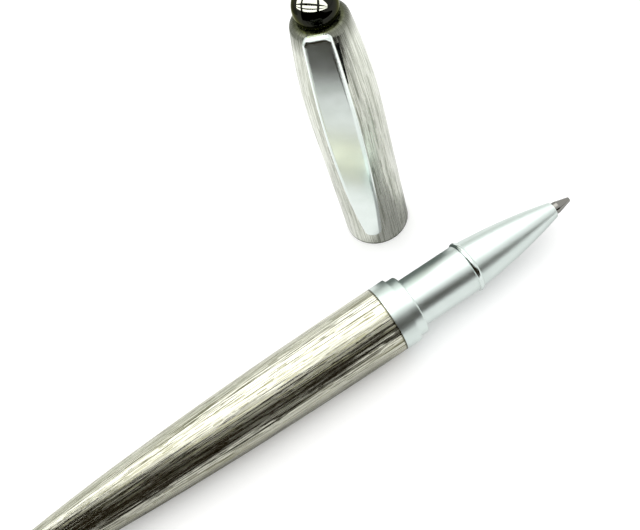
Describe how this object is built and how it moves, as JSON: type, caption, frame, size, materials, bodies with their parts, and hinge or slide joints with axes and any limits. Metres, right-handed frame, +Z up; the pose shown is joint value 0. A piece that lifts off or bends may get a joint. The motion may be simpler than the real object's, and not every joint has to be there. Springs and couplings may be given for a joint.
{
  "type": "capped rollerball pen",
  "caption": "Metal rollerball pen lying uncapped: oval brushed barrel, stepped collar, bead and nose around a refill, with its cap standing on its mouth, sprung clip and ball finial.",
  "frame": {"origin": "on the pen's axis at the shoulder where the cap's mouth stops, one body radius above the surface it lies on", "axes": "+X along the pen's axis towards the writing point, +Z up, the standing cap on the +Y side"},
  "size_m": [0.118, 0.0343, 0.0549],
  "materials": {
    "brushed_nickel": "lengthwise brushed, lacquered satin nickel",
    "satin_chrome": "bead-blasted satin chrome",
    "polished_chrome": "mirror polished",
    "nickel_silver": "fine turned, bright",
    "carbide": "polished ball",
    "brass": "machined",
    "spring_steel": "drawn wire",
    "black_plastic": "moulded",
    "clear_plastic": "moulded natural polypropylene",
    "ink_fibre": "ink-soaked bonded fibre"
  },
  "bodies": {
    "barrel": {"barrel_shell": "brushed_nickel", "barrel_bushing": "brass", "spring_seat": "black_plastic", "refill_spring": "spring_steel"},
    "refill": {"refill_tube": "clear_plastic", "refill_plug": "black_plastic", "ink_reservoir": "ink_fibre", "feed_wick": "ink_fibre", "tip_holder": "clear_plastic", "refill_tip": "nickel_silver"},
    "ball": {"writing_ball": "carbide"},
    "section": {"section_sleeve": "satin_chrome", "collar_ring": "satin_chrome", "bead_ring": "satin_chrome", "nose_cone": "satin_chrome"},
    "cap": {"cap_shell": "brushed_nickel", "inner_cap": "black_plastic", "clip_block": "brass", "clip_pin": "spring_steel", "clip_spring": "spring_steel", "finial_ball": "polished_chrome"},
    "clip": {"clip_blade": "satin_chrome"}
  },
  "joints": [
    {"name": "refill_travel", "type": "slide", "parent": "barrel", "child": "refill", "axis": [1, 0, 0], "range_m": [0, 0.006], "deforming": ["refill_spring"]},
    {"name": "section_unscrew", "type": "hinge", "parent": "refill", "child": "section", "pos_m": [0, 0, 0], "axis": [1, 0, 0], "range_deg": [0, 2880]},
    {"name": "ball_roll", "type": "hinge", "parent": "refill", "child": "ball", "pos_m": [0.03505, 0, 0], "axis": [0, 1, 0], "continuous": true},
    {"name": "cap_lift", "type": "slide", "parent": "barrel", "child": "cap", "axis": [0, 0, 1], "range_m": [0, 0.06]},
    {"name": "clip_swing", "type": "hinge", "parent": "cap", "child": "clip", "pos_m": [0.00712, 0.02007, 0.0384], "axis": [-0.859, 0.512, 0], "range_deg": [0, 5], "stiffness_Nm_per_rad": 0.4, "springref_deg": -6.88, "deforming": ["clip_spring"]}
  ],
  "couplings": [
    {"joint": "refill_travel", "follows": "section_unscrew", "m_per_rad": 0.00011937}
  ]
}
